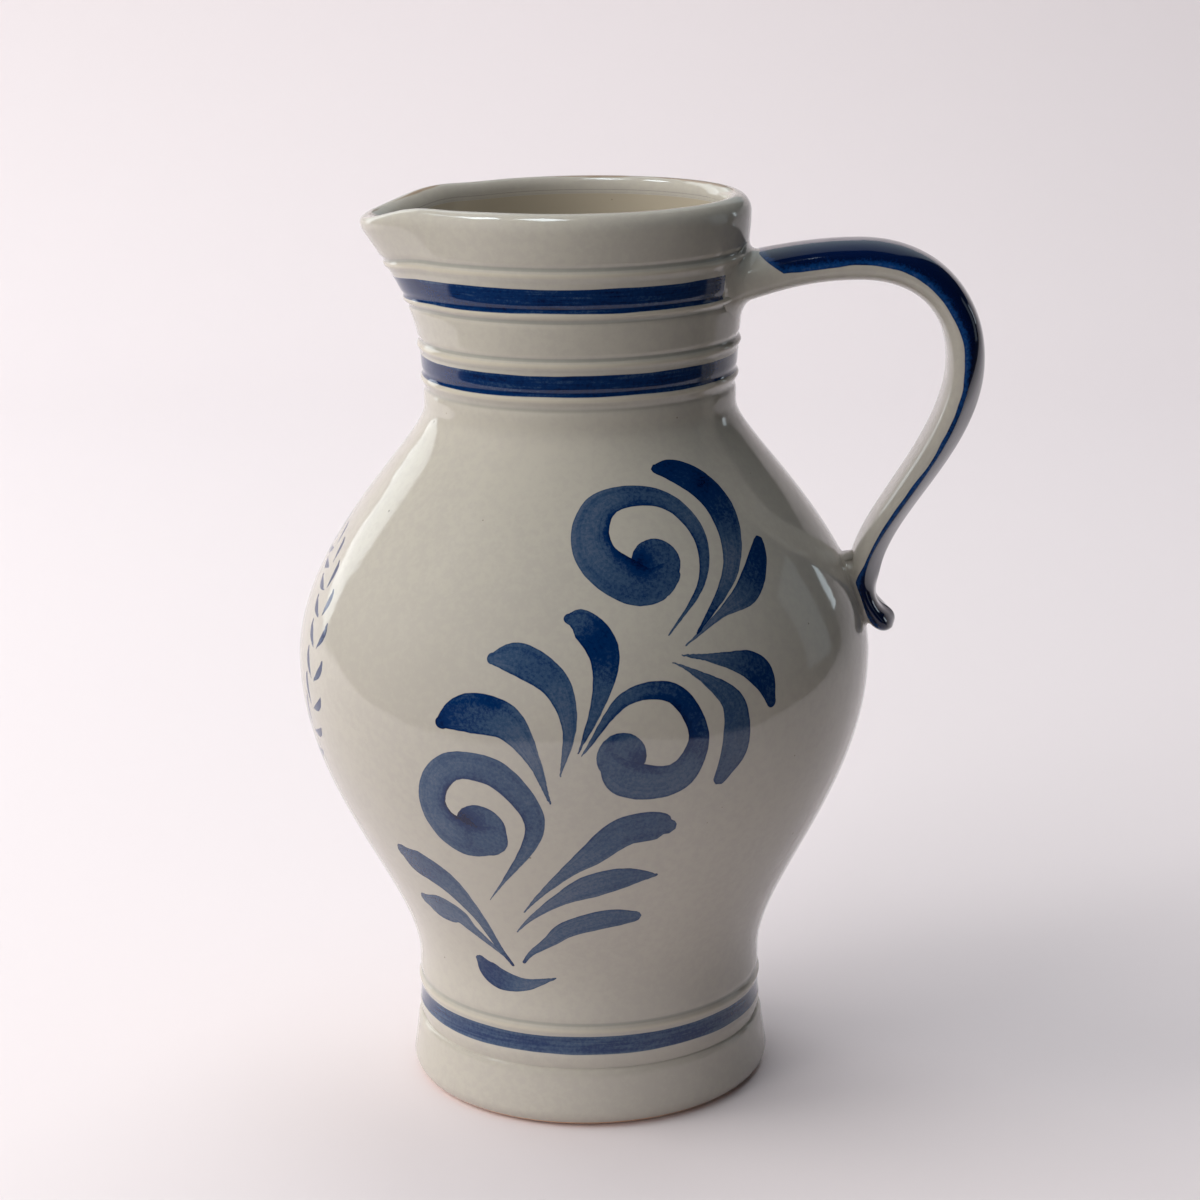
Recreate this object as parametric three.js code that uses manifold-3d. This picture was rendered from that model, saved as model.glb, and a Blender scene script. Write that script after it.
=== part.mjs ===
// Stoneware cider jug: a thrown pot with a pulled pouring lip, and a pulled strap handle luted on
// with slip. Millimetres, +Z up. The origin is the centre of the flat foot, the handle points to +X
// and the lip to -X.
import * as THREE from "three";
import { mergeVertices } from "three/addons/utils/BufferGeometryUtils.js";
import Module from "manifold-3d";

const wasm = await Module();
wasm.setup();

// The pot
const jugHeight = 250;
const bellyRadius = 79.4;
const bellyHeight = 123.2;
const waistRadius = 48.5;
const waistHeight = 34.5;
const neckRadius = 42.65;
const neckLength = 56.5;
const wall = 5.5;
const rimBlend = 9;
const floorThickness = 8;
const floorRounding = 15;
const floorThickening = 1.6;
const floorBlend = 14;

// How far each stretch of wall holds its radius at its lower and upper end, as shares of its rise
const lowerBellyHold = [0.257, 0.421];
const upperBellyHold = [0.452, 0.133];
const neckHold = [0.35, 0.15];

// The foot collar under the lowest painted band
const footRadius = 50.9;
const footHeight = 16.8;
const footShoulder = 3;
const footCorner = 4.7;
const footTaper = 1.3;
const footGroove = 0.3;

// The rounded rim
const rimRadius = 47;
const rimThickness = 6.8;
const rimCrest = 4.1;
const rimOuterRise = 4.8;
const rimInnerRise = 3.5;

// The lip, pulled out and down between two pinching fingers
const lipReach = 13.5;
const lipDrop = 4.7;
const lipPinch = 1.5;
const lipDepth = 39;
const lipHalfAngle = 33;
const lipPinchAngle = 30;
const lipPinchWidth = 12;
const lipGrowth = 1.6;
const lipRoundness = 2.4;

// The strap handle, measured from the pot that carries it
const strapRootDrop = 24;
const strapCrownDrop = 17.9;
const strapCrownOut = 29.8;
const strapBendDrop = 46.4;
const strapBendOut = 25.6;
const strapFootRise = 21.5;
const strapFootOut = 3.3;
const strapWidth = 27;
const strapThickness = 10.4;
const strapFootWidth = 22;
const strapFootThickness = 7.6;
const strapInnerFlatness = 0.66;
const strapOuterFlatness = 0.8;
const rootWidening = 1.25;
const rootThickening = 1.15;
const rootFlare = 0.42;
const rootSink = 2.5;
const tailDrop = 15;
const tailOut = 7.2;
const tailRounding = 0.75;
const tailEdge = 0.12;
const thumbHollow = 2.8;
const thumbPlace = 0.6;
const thumbLength = 6;
const thumbWidth = 6.5;

// How the strap's curves lean at their ends: lengths at the root, crown and tail, and shares of the
// reach from crown to bend, of the fall from there to the foot, and of the tail's drop
const rootLean = { out: 14, up: 4 };
const crownLean = 12;
const crownHold = 0.66;
const bendHoldAbove = 0.56;
const bendHoldBelow = 0.4;
const footHoldAbove = 0.245;
const footHoldBelow = 0.45;
const tailLean = { out: 3.2, up: 3.4 };

// The slip wiped round the two roots, and the joint left between the pieces
const upperSlip = 4;
const upperSlipRise = 1.2;
const lowerSlip = 3;
const lowerSlipDrop = 3.8;
const lowerSlipHalfHeight = 11.2;
const slipEdge = 0.7;
const slipFlatness = 0.82;
const slipUnderStrap = 3;
const slipUnderWall = 1;
const joint = 0.3;

// Fineness of the facets
const turns = 56;
const strapRings = 38;
const strapSides = 18;
const slipSteps = 30;
const slipArc = 4;

const neckHeight = jugHeight - neckLength;
const rimHeight = jugHeight - rimOuterRise;

// Beads stand proud of the wall and grooves are cut into it; each is {z, size, half}
const turning = [
  { z: footHeight + 3.2, size: 0.5, half: 1.5 },
  { z: footHeight + 11.1, size: 0.45, half: 1.3 },
  { z: neckHeight + 5.3, size: -0.35, half: 1.1 },
  { z: neckHeight + 8, size: 0.4, half: 1.1 },
  { z: jugHeight - 39.4, size: 0.5, half: 1.1 },
  { z: jugHeight - 37.4, size: -0.35, half: 0.8 },
  { z: jugHeight - 27.8, size: -0.4, half: 0.9 },
  { z: jugHeight - 26.2, size: 0.35, half: 0.9 },
  { z: jugHeight - 15.7, size: 0.45, half: 1.3 },
];

// One stretch of wall, a cubic curve that leaves both its ends upright
function swell(z, low, high, [lowHold, highHold]) {
  const span = high.z - low.z;
  let before = 0;
  let after = 1;
  for (let i = 0; i < 40; i += 1) {
    const t = (before + after) / 2;
    const rise = 3 * (1 - t) ** 2 * t * lowHold + 3 * (1 - t) * t * t * (1 - highHold) + t ** 3;
    if (low.z + span * rise < z) before = t;
    else after = t;
  }
  const share = 3 * (1 - after) * after ** 2 + after ** 3;
  return low.r + (high.r - low.r) * share;
}

// The pot's plain outer radius at a height, without the turned lines
function plainRadius(z) {
  const waist = { z: waistHeight, r: waistRadius };
  const belly = { z: bellyHeight, r: bellyRadius };
  const neck = { z: neckHeight, r: neckRadius };
  const rim = { z: rimHeight, r: rimRadius };
  if (z <= waist.z) return waist.r;
  if (z <= belly.z) return swell(z, waist, belly, lowerBellyHold);
  if (z <= neck.z) return swell(z, belly, neck, upperBellyHold);
  if (z <= rim.z) return swell(z, neck, rim, neckHold);
  return rim.r;
}

function outerRadius(z) {
  const proud = (line) => line.size * Math.exp(-(((z - line.z) / line.half) ** 2));
  return turning.reduce((radius, line) => radius + proud(line), plainRadius(z));
}

// The wall thickens towards the rim and the floor
function innerRadius(z) {
  const atRim = (rimThickness - wall) * Math.exp((z - rimHeight) / rimBlend);
  const atFloor = floorThickening * Math.exp((floorThickness - z) / floorBlend);
  return plainRadius(z) - wall - atRim - atFloor;
}

function spread(from, to, count) {
  return Array.from({ length: count }, (_, i) => from + ((to - from) * i) / (count - 1));
}

// Steps that crowd towards both ends, where the wall bends most
function easedSpread(from, to, count) {
  return spread(0, Math.PI, count).map((angle) => from + ((to - from) * (1 - Math.cos(angle))) / 2);
}

// Heights that the outer wall is drawn through: eased steps, and three for each turned line
function wallHeights() {
  const even = [
    ...easedSpread(waistHeight, bellyHeight, 11),
    ...easedSpread(bellyHeight, neckHeight, 12).slice(1),
    ...spread(neckHeight, rimHeight, 6).slice(1),
  ];
  const lines = turning.flatMap((line) => [line.z - line.half, line.z, line.z + line.half]);
  const clear = even.filter((z) => lines.every((other) => Math.abs(z - other) > 1.5));
  return [...clear, ...lines, footHeight + 7].sort((a, b) => a - b);
}

// Points on a quarter of an ellipse between two angles in degrees
function roundOff(centreR, centreZ, acrossR, upZ, from, to, count) {
  return spread(from, to, count).map((degrees) => {
    const angle = THREE.MathUtils.degToRad(degrees);
    return new THREE.Vector2(centreR + acrossR * Math.cos(angle), centreZ + upZ * Math.sin(angle));
  });
}

function potProfile() {
  const groove = waistRadius - footGroove;
  const shoulder = footRadius - footTaper - groove;
  const foot = [
    new THREE.Vector2(0, 0),
    ...roundOff(footRadius - footCorner, footCorner, footCorner, footCorner, -90, 0, 5),
    ...roundOff(groove, footHeight - footShoulder, shoulder, footShoulder, 0, 90, 3),
  ];
  const outside = wallHeights().map((z) => new THREE.Vector2(outerRadius(z), z));
  const crest = rimRadius - rimCrest;
  const rim = [
    ...roundOff(crest, rimHeight, rimCrest, rimOuterRise, 18, 90, 5),
    ...roundOff(crest, jugHeight - rimInnerRise, rimThickness - rimCrest, rimInnerRise, 115, 180, 4),
  ];
  const corner = floorThickness + floorRounding;
  const inside = [
    ...spread(jugHeight - rimInnerRise - 4, neckHeight, 4),
    ...spread(neckHeight - 8, corner, 11),
  ].map((z) => new THREE.Vector2(innerRadius(z), z));
  const floorEdge = innerRadius(corner) - floorRounding;
  const bowl = roundOff(floorEdge, corner, floorRounding, floorRounding, 0, -90, 5).slice(1);
  return [...foot, ...outside, ...rim, ...inside, ...bowl, new THREE.Vector2(0, floorThickness)];
}

// The lip moves the wall outward and down about -X, and lifts it a little where the fingers pinch
function pullLip(point) {
  const start = jugHeight - lipDepth;
  if (point.z <= start) return;
  const radius = Math.hypot(point.x, point.y);
  const angle = Math.atan2(point.y, -point.x);
  const across = Math.abs(THREE.MathUtils.radToDeg(angle));
  const grown = ((point.z - start) / lipDepth) ** lipGrowth;
  const pulled = grown * Math.exp(-((across / lipHalfAngle) ** lipRoundness));
  const pinched = grown * Math.exp(-(((across - lipPinchAngle) / lipPinchWidth) ** 2));
  const reached = radius + lipReach * pulled;
  const lifted = point.z - lipDrop * pulled + lipPinch * pinched;
  point.set(-reached * Math.cos(angle), reached * Math.sin(angle), lifted);
}

// A closed geometry becomes a solid; triangles that merging has closed up are dropped
function solidOf(geometry) {
  geometry.deleteAttribute("normal");
  geometry.deleteAttribute("uv");
  const merged = mergeVertices(geometry, 1e-4);
  const index = merged.index.array;
  const triangles = [];
  for (let i = 0; i < index.length; i += 3) {
    const [a, b, c] = [index[i], index[i + 1], index[i + 2]];
    if (a !== b && b !== c && c !== a) triangles.push(a, b, c);
  }
  const mesh = new wasm.Mesh({
    numProp: 3,
    vertProperties: new Float32Array(merged.attributes.position.array),
    triVerts: new Uint32Array(triangles),
  });
  return new wasm.Manifold(mesh);
}

// A revolved profile stands on the Z axis
function revolve(profile, segments) {
  const geometry = new THREE.LatheGeometry(profile, segments);
  geometry.rotateX(Math.PI / 2);
  return geometry;
}

function makePot() {
  const geometry = revolve(potProfile(), turns);
  const position = geometry.attributes.position;
  const point = new THREE.Vector3();
  for (let i = 0; i < position.count; i += 1) {
    point.fromBufferAttribute(position, i);
    pullLip(point);
    position.setXYZ(i, point.x, point.y, point.z);
  }
  return solidOf(geometry);
}

// The space that the pot and a joint round it take up on the handle's side, filled solid
function makePotSpace() {
  const skin = wallHeights().map((z) => new THREE.Vector2(outerRadius(z) + joint, z));
  const first = skin[0].y;
  const last = skin[skin.length - 1].y;
  return solidOf(revolve([new THREE.Vector2(0, first), ...skin, new THREE.Vector2(0, last)], turns));
}

// Joins rings of points into one skin; the ends are capped, or the last ring meets the first
function skinOf(rings, looped) {
  const sides = rings[0].length;
  const points = rings.flat();
  const index = [];
  const spans = looped ? rings.length : rings.length - 1;
  for (let i = 0; i < spans; i += 1) {
    const here = i * sides;
    const next = ((i + 1) % rings.length) * sides;
    for (let k = 0; k < sides; k += 1) {
      const m = (k + 1) % sides;
      index.push(here + k, here + m, next + k, here + m, next + m, next + k);
    }
  }
  if (!looped) {
    const last = (rings.length - 1) * sides;
    for (let k = 1; k < sides - 1; k += 1) {
      index.push(0, k + 1, k, last, last + k, last + k + 1);
    }
  }
  const geometry = new THREE.BufferGeometry();
  geometry.setAttribute("position", new THREE.Float32BufferAttribute(points.flatMap((p) => p.toArray()), 3));
  geometry.setIndex(index);
  return geometry;
}

// The middle line of the strap, in the plane through the pot's axis
const strapFootHeight = bellyHeight + strapFootRise;
const rootHeight = jugHeight - strapRootDrop;
const crownHeight = jugHeight - strapCrownDrop;
const bendHeight = jugHeight - strapBendDrop;
const tailHeight = strapFootHeight - tailDrop;
const rootHalfWidth = (strapWidth / 2) * rootWidening;

function inPlane(x, z) {
  return new THREE.Vector3(x, 0, z);
}

function strapLine() {
  const root = inPlane(Math.sqrt(plainRadius(rootHeight) ** 2 - rootHalfWidth ** 2) - rootSink, rootHeight);
  const crown = inPlane(plainRadius(crownHeight) + strapCrownOut, crownHeight);
  const bend = inPlane(bellyRadius + strapBendOut, bendHeight);
  const foot = inPlane(plainRadius(strapFootHeight) + strapFootOut, strapFootHeight);
  const tail = inPlane(plainRadius(tailHeight) + tailOut, tailHeight);
  const reach = bend.x - crown.x;
  const fall = bend.z - foot.z;
  const line = new THREE.CurvePath();
  line.add(new THREE.CubicBezierCurve3(root, inPlane(root.x + rootLean.out, root.z + rootLean.up),
    inPlane(crown.x - crownLean, crown.z), crown));
  line.add(new THREE.CubicBezierCurve3(crown, inPlane(crown.x + crownHold * reach, crown.z),
    inPlane(bend.x, bend.z + bendHoldAbove * (crown.z - bend.z)), bend));
  line.add(new THREE.CubicBezierCurve3(bend, inPlane(bend.x, bend.z - bendHoldBelow * fall),
    inPlane(foot.x, foot.z + footHoldAbove * fall), foot));
  line.add(new THREE.CubicBezierCurve3(foot, inPlane(foot.x, foot.z - footHoldBelow * tailDrop),
    inPlane(tail.x - tailLean.out, tail.z + tailLean.up), tail));
  return line;
}

// Width and thickness of the strap at a distance along its line. It narrows from the crown on and
// thins from the bend on; the list holds how far along the crown, bend, foot and end are
function strapSize(distance, [crownAt, bendAt, footAt, end]) {
  const atRoot = Math.exp(-((distance / (rootFlare * crownAt)) ** 2));
  const narrowing = THREE.MathUtils.smoothstep(distance, crownAt, footAt);
  const thinning = THREE.MathUtils.smoothstep(distance, bendAt, footAt);
  const left = Math.max(end - distance, 0);
  const rounding = strapFootThickness * tailRounding;
  const tip = left < rounding ? Math.sqrt(1 - (1 - left / rounding) ** 2) : 1;
  const width = THREE.MathUtils.lerp(strapWidth, strapFootWidth, narrowing);
  const thick = THREE.MathUtils.lerp(strapThickness, strapFootThickness, thinning);
  const wide = 1 + (rootWidening - 1) * atRoot;
  const deep = 1 + (rootThickening - 1) * atRoot;
  const closing = Math.max(tip, tailEdge);
  return { width: width * wide * closing, thick: thick * deep * closing };
}

// Flattens a sine or cosine: at 1 they draw an oval, and the less flatness is, the squarer its corners
function flatten(value, flatness) {
  return Math.sign(value) * Math.abs(value) ** flatness;
}

// The strap's section has a flat face towards the pot and a crowned one outwards
function makeStrap(extra) {
  const line = strapLine();
  const marks = line.getCurveLengths();
  const [, , footAt, end] = marks;
  const rings = [];
  for (let i = 0; i < strapRings; i += 1) {
    const share = 1 - (1 - i / (strapRings - 1)) ** 1.15;
    const distance = end * share;
    const centre = line.getPointAt(share);
    const forward = line.getTangentAt(share);
    const outward = new THREE.Vector3(-forward.z, 0, forward.x);
    const size = strapSize(distance, marks);
    const fromThumb = distance - footAt - thumbPlace * tailDrop;
    const pressed = thumbHollow * Math.exp(-((fromThumb / thumbLength) ** 2));
    const ring = spread(0, 360, strapSides + 1).slice(0, strapSides).map((degrees) => {
      const angle = THREE.MathUtils.degToRad(degrees);
      const flatness = Math.sin(angle) > 0 ? strapOuterFlatness : strapInnerFlatness;
      const side = (size.width / 2 + extra) * flatten(Math.cos(angle), flatness);
      let out = (size.thick / 2 + extra) * flatten(Math.sin(angle), flatness);
      if (out > 0) out -= pressed * Math.sin(angle) * Math.exp(-((side / thumbWidth) ** 2));
      return new THREE.Vector3(centre.x, side, centre.z).addScaledVector(outward, out);
    });
    rings.push(ring);
  }
  return solidOf(skinOf(rings, false));
}

// A ring of slip round a root: its outline on the wall is {z, halfWidth, halfHeight}, and its face is a
// hollow quarter round from the wall up the side of the strap
function makeSlip(outline, radius) {
  const rings = spread(0, 360, slipSteps + 1).slice(0, slipSteps).map((degrees) => {
    const angle = THREE.MathUtils.degToRad(degrees);
    const y = outline.halfWidth * flatten(Math.cos(angle), slipFlatness);
    const z = outline.halfHeight * flatten(Math.sin(angle), slipFlatness);
    const away = new THREE.Vector2(Math.cos(angle) / outline.halfWidth, Math.sin(angle) / outline.halfHeight);
    away.normalize();
    const arc = spread(0, 90, slipArc + 1).map((turn) => {
      const q = THREE.MathUtils.degToRad(turn);
      return [radius * (1 - Math.sin(q)), slipEdge + (radius - slipEdge) * (1 - Math.cos(q))];
    });
    const under = [[-slipUnderStrap, -slipUnderWall], [-slipUnderStrap, radius]];
    const section = [...under, ...arc.reverse(), [radius, -slipUnderWall]];
    return section.map(([out, lift]) => {
      const height = outline.z + z + out * away.y;
      return liftOff(y + out * away.x, height, lift);
    });
  });
  return solidOf(skinOf(rings, true));
}

// A point on the pot's wall, lifted square off it
function liftOff(y, z, lift) {
  const r = plainRadius(z);
  const slope = plainRadius(z + 0.5) - plainRadius(z - 0.5);
  const normal = new THREE.Vector3(Math.sqrt(r * r - y * y) / r, y / r, -slope).normalize();
  return new THREE.Vector3(Math.sqrt(r * r - y * y), y, z).addScaledVector(normal, lift);
}

function meshOf(solid, name, material) {
  const { vertProperties, triVerts } = solid.getMesh();
  const geometry = new THREE.BufferGeometry();
  geometry.setAttribute("position", new THREE.BufferAttribute(new Float32Array(vertProperties), 3));
  geometry.setIndex(new THREE.BufferAttribute(new Uint32Array(triVerts), 1));
  geometry.computeVertexNormals();
  const mesh = new THREE.Mesh(geometry, material);
  mesh.name = name;
  return mesh;
}

const greyGlaze = new THREE.MeshStandardMaterial({ color: 0xa9a49b, roughness: 0.16, metalness: 0 });
const cobaltGlaze = new THREE.MeshStandardMaterial({ color: 0x14285c, roughness: 0.14, metalness: 0 });

const potSpace = makePotSpace();
const handle = makeStrap(0).subtract(potSpace);
const handleSpace = makeStrap(joint);

const upperOutline = {
  z: rootHeight + upperSlipRise,
  halfWidth: rootHalfWidth,
  halfHeight: (strapThickness / 2) * rootThickening,
};
const lowerOutline = {
  z: strapFootHeight - lowerSlipDrop,
  halfWidth: strapFootWidth / 2,
  halfHeight: lowerSlipHalfHeight,
};
const upperRing = makeSlip(upperOutline, upperSlip).subtract(potSpace).subtract(handleSpace);
const lowerRing = makeSlip(lowerOutline, lowerSlip).subtract(potSpace).subtract(handleSpace);

const jug = new THREE.Group();
jug.add(meshOf(makePot(), "vessel_body", greyGlaze));
jug.add(meshOf(handle, "handle", cobaltGlaze));
jug.add(meshOf(upperRing, "handle_upper_slip", greyGlaze));
jug.add(meshOf(lowerRing, "handle_lower_slip", greyGlaze));

export default jug;
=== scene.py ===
# %% [markdown]
# # A stoneware cider jug in grey glaze and cobalt brushwork
#
# The jug was thrown on a wheel, its lip was pulled out of the rim with two fingers, and its handle is
# a pulled strap that was luted on with slip. The whole pot is glazed a pale grey. Three blue bands
# and a scroll of blue brush strokes were painted on before the glaze.
#
# Each part is drawn again here as a fine mesh by the rules that shaped its solid, so that its glaze
# can carry sharp reflections. The blue is never geometry: it has no thickness on the real pot, so it
# is a matter for the materials.

# %% Load the frame
import math

import bpy
import numpy as np
from mathutils import Matrix, Vector
from mathutils.bvhtree import BVHTree


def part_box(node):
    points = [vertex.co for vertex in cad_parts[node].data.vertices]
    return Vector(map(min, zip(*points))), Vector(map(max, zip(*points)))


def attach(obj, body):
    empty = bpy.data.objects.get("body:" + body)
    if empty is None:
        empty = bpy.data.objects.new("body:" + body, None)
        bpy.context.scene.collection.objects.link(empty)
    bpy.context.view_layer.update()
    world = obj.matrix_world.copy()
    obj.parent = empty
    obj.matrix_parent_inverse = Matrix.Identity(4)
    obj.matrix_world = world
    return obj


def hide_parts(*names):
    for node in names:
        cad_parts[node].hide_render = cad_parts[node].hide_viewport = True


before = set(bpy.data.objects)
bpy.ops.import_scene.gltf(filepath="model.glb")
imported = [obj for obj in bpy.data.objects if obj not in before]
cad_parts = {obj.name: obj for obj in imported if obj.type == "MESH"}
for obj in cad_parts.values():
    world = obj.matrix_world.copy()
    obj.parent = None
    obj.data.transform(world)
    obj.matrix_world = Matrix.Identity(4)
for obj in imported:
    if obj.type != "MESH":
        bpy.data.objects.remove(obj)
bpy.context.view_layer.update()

MM = 0.001
print("nodes:", ", ".join(sorted(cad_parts)))

# %% [markdown]
# ## The pot's profile
#
# A thrown pot is one outline turned round an axis. Above the foot the outline here is three stretches
# of wall, each a cubic curve that leaves both its ends upright: waist to belly, belly to neck and neck
# to rim. A table of measured points would do too, but curves stay smooth when the mesh gets finer,
# and a glaze shows every flat spot.

# %% Driving sizes of the pot
pot_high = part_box("vessel_body")[1]
jug_height = pot_high.z
belly_radius = pot_high.y
belly_height = 123.2 * MM
waist_height, waist_radius = 34.5 * MM, 48.5 * MM
neck_height, neck_radius = jug_height - 56.5 * MM, 42.65 * MM
rim_rise = 4.8 * MM
rim_height, rim_radius = jug_height - rim_rise, 47 * MM
wall, floor_thickness = 5.5 * MM, 8 * MM
print(f"jug {jug_height / MM:.0f} mm high, belly {2 * belly_radius / MM:.1f} mm across")

# Lower end, upper end, and how long the curve stays upright at each, as shares of the stretch
stretches = [
    ((waist_height, waist_radius), (belly_height, belly_radius), (0.257, 0.421)),
    ((belly_height, belly_radius), (neck_height, neck_radius), (0.452, 0.133)),
    ((neck_height, neck_radius), (rim_height, rim_radius), (0.35, 0.15)),
]


def plain_radius(z):
    """The wall's outer radius at a height, without the turned lines."""
    z = np.atleast_1d(np.asarray(z, float))
    radius = np.where(z < waist_height, waist_radius, rim_radius)
    for (low_z, low_r), (high_z, high_r), (low_hold, high_hold) in stretches:
        share = np.linspace(0, 1, 2001)
        rise = 3 * (1 - share) ** 2 * share * low_hold
        rise = rise + 3 * (1 - share) * share**2 * (1 - high_hold) + share**3
        swing = 3 * (1 - share) * share**2 + share**3
        here = (z >= low_z) & (z <= high_z)
        grown = np.interp((z[here] - low_z) / (high_z - low_z), rise, swing)
        radius[here] = low_r + (high_r - low_r) * grown
    return radius


print("radius at the neck's middle:", round(float(plain_radius(0.22)[0]) / MM, 2), "mm")

# %% [markdown]
# ## Turned lines and the rim
#
# With the wheel still turning, the potter presses a wooden rib against the clay: pairs of beads and
# grooves frame each band of colour. They are half a millimetre deep. A bump in the material could
# stand in for them, but a glaze mirrors the room in them, and only real shape bends a reflection as
# it should. Each is a small bell-shaped change of the radius, and the mesh gets extra rings there.

# %% The turned lines and the two faces of the wall
# Height, size (proud of the wall, or cut into it) and half width of each line, in mm
turned_lines = [
    (20.0, 0.35, 1.6), (27.9, 0.5, 1.2), (29.7, -0.3, 0.9), (198.8, -0.4, 1.1), (201.5, 0.55, 1.0),
    (203.2, -0.3, 0.9), (210.6, 0.6, 1.0), (212.3, -0.45, 0.8), (222.2, -0.45, 0.9), (223.8, 0.45, 0.9),
    (225.4, -0.3, 0.9), (234.3, 0.55, 1.2), (236.1, -0.45, 0.9),
]


def bell(distance, half_width, roundness=2):
    """1 where there is no distance, and falling off smoothly to both sides."""
    return np.exp(-((distance / half_width) ** roundness))


def outer_radius(z):
    radius = plain_radius(z)
    for height, size, half in turned_lines:
        radius = radius + size * MM * bell(z / MM - height, half)
    return radius


# The wall is a little thicker towards the rim and the floor: by how much, and within what height
rim_swell, rim_swell_height = 1.3 * MM, 9 * MM
floor_swell, floor_swell_height = 1.6 * MM, 14 * MM


def inner_radius(z):
    at_rim = rim_swell * np.exp((z - rim_height) / rim_swell_height)
    at_floor = floor_swell * np.exp((floor_thickness - z) / floor_swell_height)
    return plain_radius(z) - wall - at_rim - at_floor


def arc(centre_r, centre_z, across, up, start, end, count):
    """Points on an ellipse in the outline, between two angles: 0 is outwards and 90 is up."""
    angle = np.radians(np.linspace(start, end, count))
    return [(centre_r + across * math.cos(a), centre_z + up * math.sin(a)) for a in angle]


near_line, close_ring, plain_ring = 2.2 * MM, 0.44 * MM, 1.5 * MM


def wall_heights(low, high):
    """Heights up the wall, close together where a line was turned."""
    heights = [low]
    while heights[-1] < high:
        nearest = min(abs(heights[-1] - line[0] * MM) for line in turned_lines)
        heights.append(heights[-1] + (close_ring if nearest < near_line else plain_ring))
    return np.array(heights[:-1])


print("on the turned lines the rings are", close_ring / MM, "mm apart, elsewhere", plain_ring / MM)

# %% The wall's outline from the foot, over the rim, to the floor
foot_radius, foot_corner, foot_height = 50.9 * MM, 4.7 * MM, 16.8 * MM
foot_taper, foot_edge = 1.3 * MM, 3 * MM
groove_radius = waist_radius - 0.3 * MM
shoulder = foot_radius - foot_taper - groove_radius
upright = foot_height - foot_edge - foot_corner
base_radii = (0, 14, 28, 38, 43)
foot = [(r * MM, 0.0) for r in base_radii]
foot += arc(foot_radius - foot_corner, foot_corner, foot_corner, foot_corner, -90, 0, 14)
foot += [(foot_radius - foot_taper * s, foot_corner + upright * s) for s in (0.2, 0.4, 0.6, 0.8)]
foot += arc(groove_radius, foot_height - foot_edge, shoulder, foot_edge, 0, 88, 10)
climb = wall_heights(foot_height + 0.5 * MM, rim_height)
outside = list(zip(outer_radius(climb), climb))
rim_outward, rim_inward, rim_fall = 4.1 * MM, 2.7 * MM, 3.5 * MM
crest = rim_radius - rim_outward
rim = arc(crest, rim_height, rim_outward, rim_rise, 4, 90, 15)
rim += arc(crest, jug_height - rim_fall, rim_inward, rim_fall, 99, 180, 10)
bowl_corner = 15 * MM
bowl_top = floor_thickness + bowl_corner
inner_ring = 4 * MM
descent = np.arange(jug_height - 5 * MM, bowl_top, -inner_ring)
inside = list(zip(inner_radius(descent), descent))
bowl_edge = float(inner_radius(bowl_top)[0]) - bowl_corner
bowl = arc(bowl_edge, bowl_top, bowl_corner, bowl_corner, 0, -90, 12)
bowl += [(bowl_edge * s, floor_thickness) for s in (0.66, 0.33, 0)]
outline = np.array(foot + outside + rim + inside + bowl)
print(len(outline), "points in the outline, of which", len(outside), "climb the outer wall")

# %% [markdown]
# ## The pulled lip
#
# While the rim is soft, one finger strokes the clay outwards and two others pinch it from the sides.
# The wall swings out and dips over the last 39 mm, most at the rim, and rises a little where it was
# pinched. Moving the vertices of the turned pot does the same thing to the mesh.

# %% Pull the lip out of the rim
lip_depth, lip_reach, lip_drop, lip_pinch = 39 * MM, 13.5 * MM, 4.7 * MM, 1.5 * MM
lip_growth, lip_half_angle, lip_roundness = 1.6, 33, 2.4
pinch_angle, pinch_width = 30, 12


def pull_lip(points):
    start = jug_height - lip_depth
    radius = np.hypot(points[:, 0], points[:, 1])
    angle = np.arctan2(points[:, 1], -points[:, 0])
    across = np.abs(np.degrees(angle))
    grown = np.clip((points[:, 2] - start) / lip_depth, 0, None) ** lip_growth
    pulled = grown * bell(across, lip_half_angle, lip_roundness)
    pinched = grown * bell(across - pinch_angle, pinch_width)
    reached = radius + lip_reach * pulled
    lifted = points[:, 2] - lip_drop * pulled + lip_pinch * pinched
    return np.stack([-reached * np.cos(angle), reached * np.sin(angle), lifted], axis=1)


print("the lip reaches", lip_reach / MM, "mm out and dips", lip_drop / MM, "mm")

# %% Turn the outline into the pot's mesh
around = 288


def new_mesh(name, points, faces):
    mesh = bpy.data.meshes.new(name)
    mesh.from_pydata([tuple(p) for p in points], [], faces)
    mesh.validate()
    mesh.polygons.foreach_set("use_smooth", [True] * len(mesh.polygons))
    piece = bpy.data.objects.new(name, mesh)
    bpy.context.scene.collection.objects.link(piece)
    return piece


def join_rings(here, there, sides):
    """The faces between two rings of points, given the number of each ring's first point."""
    step = [(k, (k + 1) % sides) for k in range(sides)]
    return [(here + a, here + b, there + b, there + a) for a, b in step]


def turn_on_wheel(profile):
    """Turns a profile that starts and ends on the axis; returns its points and faces."""
    theta = np.arange(around) * 2 * math.pi / around
    rings = [np.array([[0, 0, profile[0][1]]])]
    for radius, height in profile[1:-1]:
        ring = [radius * np.cos(theta), radius * np.sin(theta), np.full(around, height)]
        rings.append(np.stack(ring, axis=1))
    rings.append(np.array([[0, 0, profile[-1][1]]]))
    points = np.vstack(rings)
    last = len(points) - 1
    step = [(k, (k + 1) % around) for k in range(around)]
    faces = [(0, 1 + b, 1 + a) for a, b in step]
    for ring in range(len(profile) - 3):
        faces += join_rings(1 + ring * around, 1 + (ring + 1) * around, around)
    top = 1 + (len(profile) - 3) * around
    faces += [(last, top + a, top + b) for a, b in step]
    return points, faces


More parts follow.
